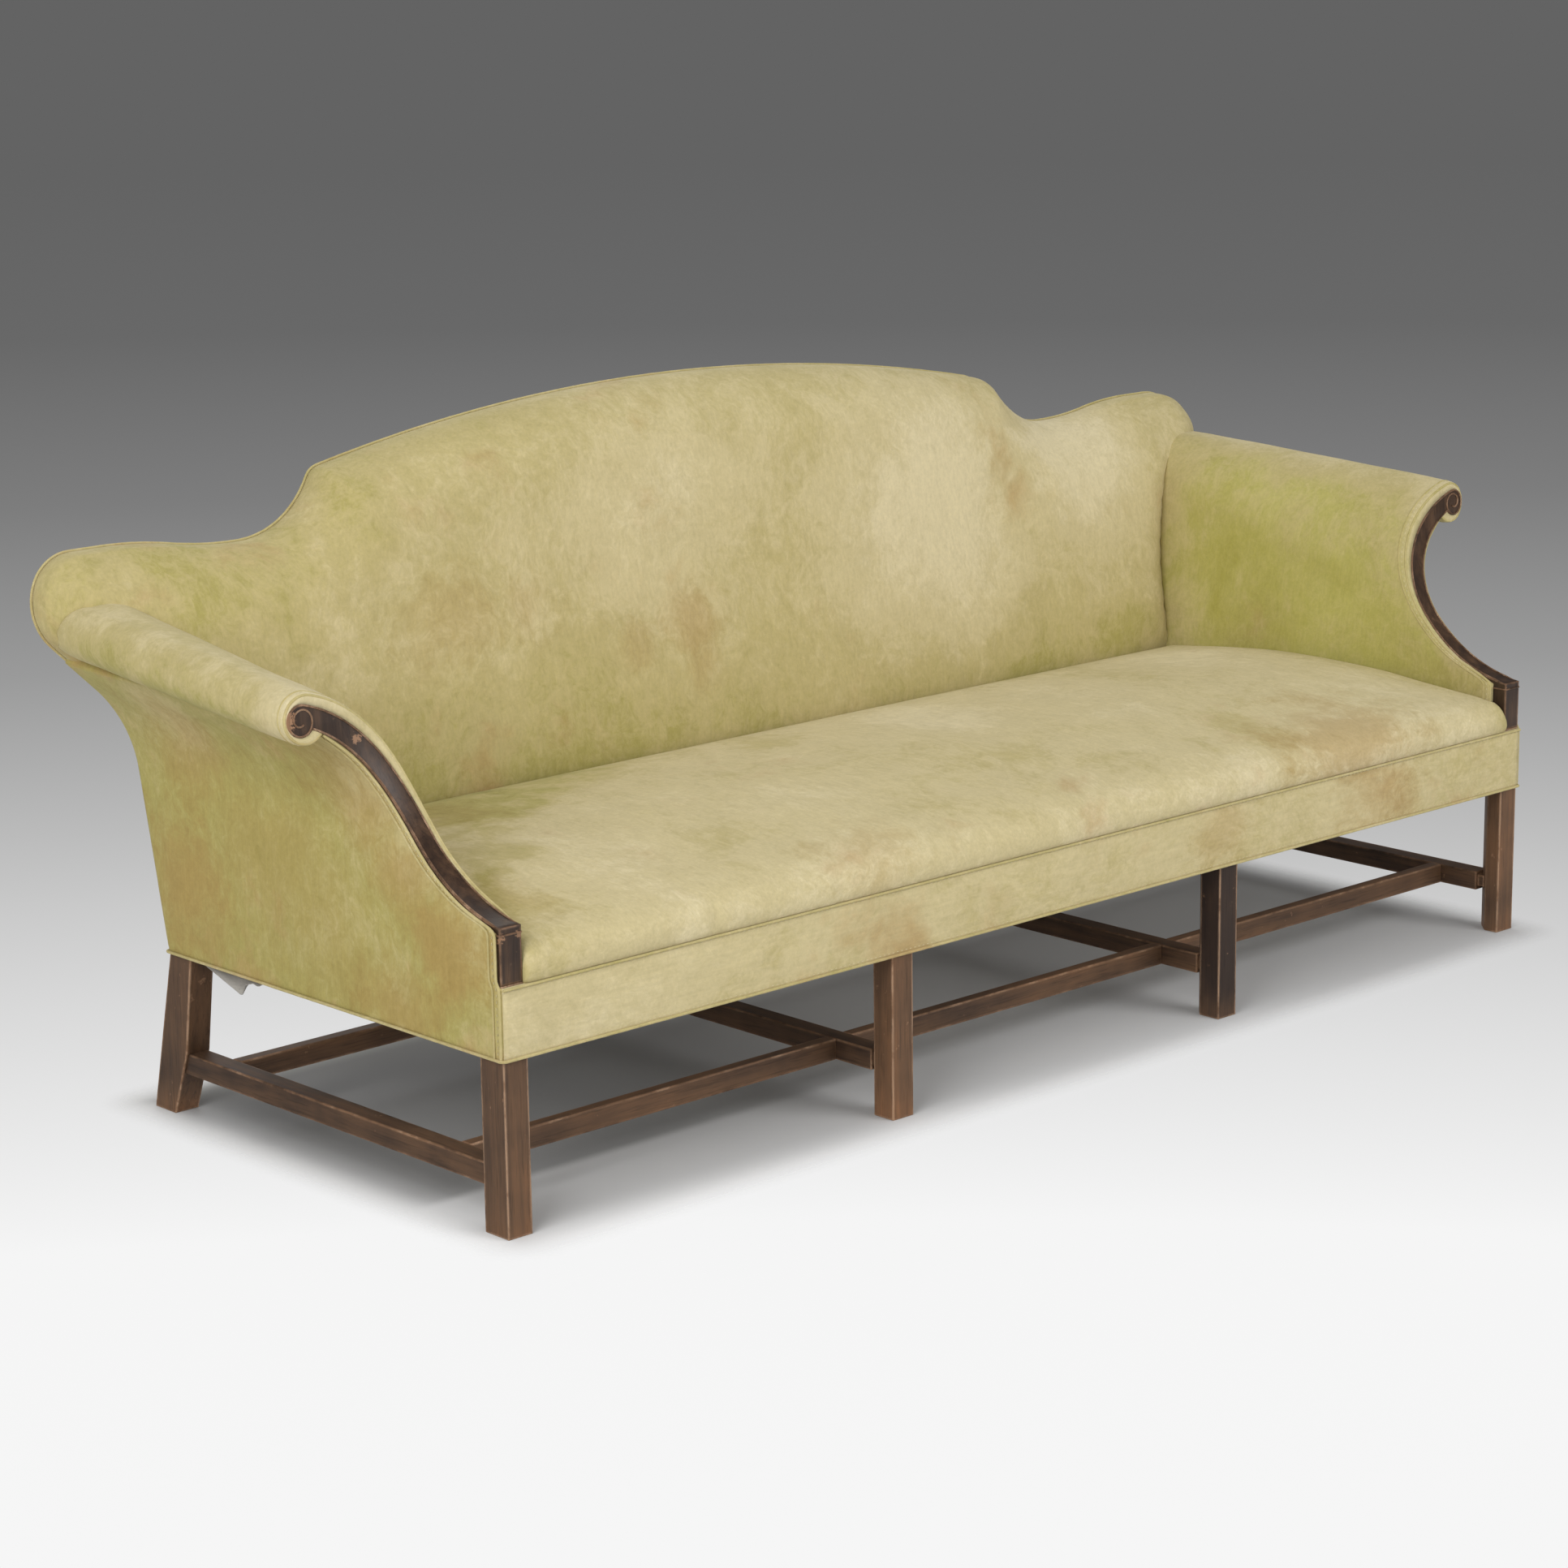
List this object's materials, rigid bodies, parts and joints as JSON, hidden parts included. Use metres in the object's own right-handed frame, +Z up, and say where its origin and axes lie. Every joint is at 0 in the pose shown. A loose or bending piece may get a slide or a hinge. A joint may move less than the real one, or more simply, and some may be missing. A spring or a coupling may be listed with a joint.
{
  "type": "camelback sofa",
  "caption": "Long upholstered sofa with a humped back, outward rolling arms with carved timber facings, square legs and low stretchers.",
  "frame": {"origin": "on the floor, under the middle of the whole sofa's box", "axes": "+X along the sofa to its sitter's left, seen from the front to the right; -Y the front; +Z up"},
  "size_m": [2.4402, 0.9171, 0.95],
  "materials": {
    "show_wood": "dark waxed mahogany with rubbed pale edges",
    "frame_wood": "plain sawn beech",
    "velvet": "worn olive and straw velvet, rubbed pale on the high places",
    "piping_velvet": "velvet-covered cord",
    "dust_cloth": "thin dark lining cloth",
    "webbing": "woven jute strap",
    "hessian": "open jute sackcloth",
    "stuffing": "teased hair",
    "tack_metal": "blued iron",
    "screw_metal": "bright steel"
  },
  "bodies": {
    "root": {"back_hessian": "hessian", "back_stuffing": "stuffing", "back_tacking_rail": "frame_wood", "back_webbing": "webbing", "corner_blocks": "frame_wood", "crest_rail": "frame_wood", "cross_stretcher_left_end": "show_wood", "cross_stretcher_left_middle": "show_wood", "cross_stretcher_right_end": "show_wood", "cross_stretcher_right_middle": "show_wood", "dust_cover": "dust_cloth", "facing_screws": "screw_metal", "front_band_cover": "velvet", "front_leg_left_end": "show_wood", "front_leg_left_middle": "show_wood", "front_leg_right_end": "show_wood", "front_leg_right_middle": "show_wood", "front_rail": "frame_wood", "front_stretcher_left": "show_wood", "front_stretcher_middle": "show_wood", "front_stretcher_right": "show_wood", "inside_back_cover": "velvet", "left_arm_facing": "show_wood", "left_arm_hessian": "hessian", "left_arm_post": "frame_wood", "left_arm_stuffing": "stuffing", "left_arm_tacking_rail": "frame_wood", "left_arm_top_rail": "frame_wood", "left_cross_rail": "frame_wood", "left_inside_arm_cover": "velvet", "left_outside_arm_cover": "velvet", "left_rail": "frame_wood", "outside_back_cover": "velvet", "piping": "piping_velvet", "rear_leg_left_end": "show_wood", "rear_leg_left_middle": "show_wood", "rear_leg_right_end": "show_wood", "rear_leg_right_middle": "show_wood", "rear_rail_left": "frame_wood", "rear_rail_middle": "frame_wood", "rear_rail_right": "frame_wood", "rear_stretcher_left": "show_wood", "rear_stretcher_middle": "show_wood", "rear_stretcher_right": "show_wood", "right_arm_facing": "show_wood", "right_arm_hessian": "hessian", "right_arm_post": "frame_wood", "right_arm_stuffing": "stuffing", "right_arm_tacking_rail": "frame_wood", "right_arm_top_rail": "frame_wood", "right_cross_rail": "frame_wood", "right_inside_arm_cover": "velvet", "right_outside_arm_cover": "velvet", "right_rail": "frame_wood", "seat_cover": "velvet", "seat_sackcloth": "hessian", "seat_stuffing": "stuffing", "seat_webbing": "webbing", "tacks": "tack_metal"}
  },
  "joints": []
}
